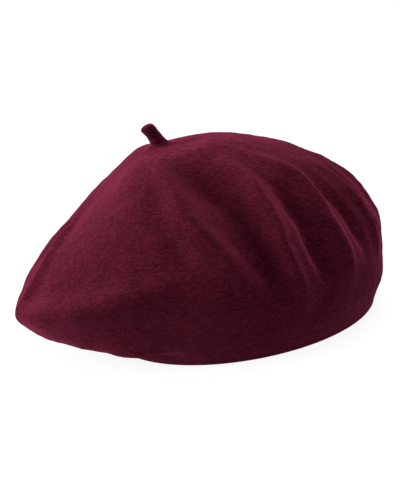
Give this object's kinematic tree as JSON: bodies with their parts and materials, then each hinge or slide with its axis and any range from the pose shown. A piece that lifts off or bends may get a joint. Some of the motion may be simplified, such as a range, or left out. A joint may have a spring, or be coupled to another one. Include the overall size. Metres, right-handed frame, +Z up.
{
  "type": "beret",
  "caption": "One-piece felted wool beret, draped to one side, with a short bending felt stalk, satin lining, leather sweatband and a hanging care label.",
  "frame": {"origin": "middle of the head opening, on the plane that the lower edge of the hem rests on", "axes": "+Z up through the crown, -Y to the front, -X to the side that the overhang hangs to"},
  "size_m": [0.2796, 0.2308, 0.1571],
  "materials": {
    "wool_felt": "fulled wool, matte with a soft sheen",
    "sweatband_leather": "soft matte leather",
    "satin": "satin",
    "thread": "matte thread",
    "label_cloth": "woven tape",
    "label_thread": "matte thread"
  },
  "bodies": {
    "hat": {"felt_shell": "wool_felt", "hem_stitches": "thread", "stalk_tacking": "thread", "sweatband": "sweatband_leather", "sweatband_stitches": "thread", "sweatband_join_stitches": "thread", "lining_tip": "satin", "lining_side": "satin", "lining_seam_stitches": "thread", "size_label": "label_cloth", "label_stitches": "label_thread"},
    "stalk_body": {"stalk": "wool_felt"},
    "care_label_body": {"care_label": "label_cloth"}
  },
  "joints": [
    {"name": "stalk_bend", "type": "hinge", "parent": "hat", "child": "stalk_body", "pos_m": [-0.039, 0.01, 0.1377], "axis": [0, 1, 0], "range_deg": [-20, 44], "stiffness_Nm_per_rad": 0.01},
    {"name": "care_label_flap", "type": "hinge", "parent": "hat", "child": "care_label_body", "pos_m": [-0.0168, 0.09076, 0.10367], "axis": [1, 0, 0], "range_deg": [-60, 12]}
  ]
}
